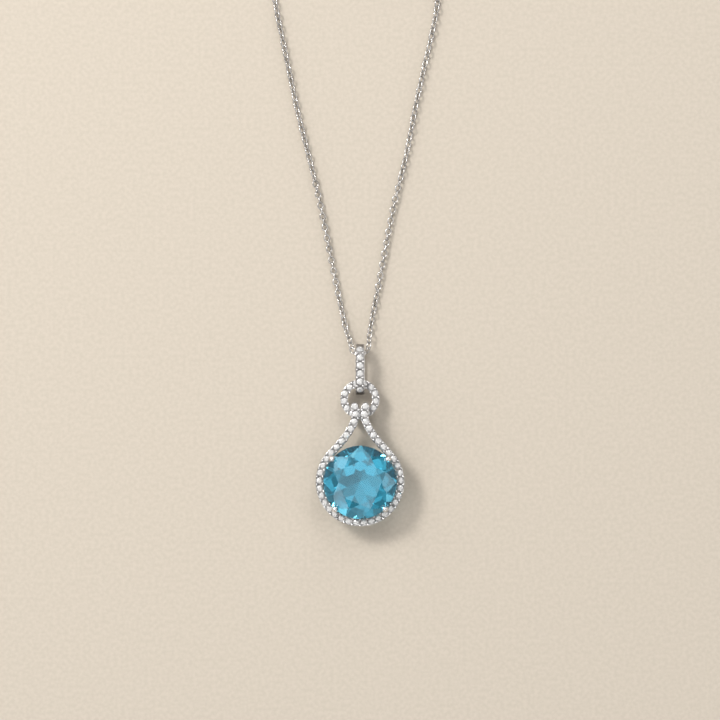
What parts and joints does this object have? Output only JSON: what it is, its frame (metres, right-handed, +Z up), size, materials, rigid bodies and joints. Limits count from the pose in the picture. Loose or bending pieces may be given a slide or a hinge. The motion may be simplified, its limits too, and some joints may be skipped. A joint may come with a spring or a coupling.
{
  "type": "pendant necklace",
  "caption": "Halo drop pendant with a round blue stone, hooked over a stone-set ring in a long bail, on a fine cable chain with a spring-ring clasp.",
  "frame": {"origin": "middle of the bottom of the drop, ring and bail together, lying face up", "axes": "+Z up out of the stone's table, +Y from the drop towards the bail and the chain, +X to the wearer's left as seen from the front"},
  "size_m": [0.0252, 0.098, 0.0064],
  "materials": {
    "blue_stone": "polished",
    "clear_stone": "polished",
    "white_metal": "polished",
    "chain_metal": "polished",
    "spring_wire": "drawn"
  },
  "bodies": {
    "chain": {"chain_left_run": "chain_metal", "chain_right_run": "chain_metal", "chain_coil": "chain_metal", "clasp_tube": "white_metal", "clasp_spring": "spring_wire", "clasp_stop": "white_metal", "clasp_eye": "white_metal", "clasp_jump_ring": "white_metal", "end_ring": "white_metal"},
    "bail": {"bail_loop": "white_metal", "bail_stones": "clear_stone"},
    "ring": {"ring_band": "white_metal", "ring_stones": "clear_stone"},
    "drop": {"centre_stone": "blue_stone", "claw_prongs": "white_metal", "upper_rail": "white_metal", "base_rail": "white_metal", "drop_frame": "white_metal", "halo_stones": "clear_stone", "arm_stones": "clear_stone"},
    "bolt": {"clasp_bolt": "white_metal"}
  },
  "joints": [
    {"name": "bail_swing", "type": "hinge", "parent": "chain", "child": "bail", "pos_m": [0, 0.0113, 0.00172], "axis": [-1, 0, 0], "range_deg": [-30, 100]},
    {"name": "ring_swing", "type": "hinge", "parent": "bail", "child": "ring", "pos_m": [0, 0.00705, 0.00175], "axis": [-1, 0, 0], "range_deg": [-45, 45]},
    {"name": "drop_swing", "type": "hinge", "parent": "ring", "child": "drop", "pos_m": [0, 0.00285, 0.00175], "axis": [-1, 0, 0], "range_deg": [-60, 40]},
    {"name": "bolt_slide", "type": "hinge", "parent": "chain", "child": "bolt", "pos_m": [-0.0003, 0.0732, 0.00105], "axis": [0, 0, 1], "range_deg": [0, 50], "stiffness_Nm_per_rad": 0.00001, "springref_deg": -11.46}
  ]
}
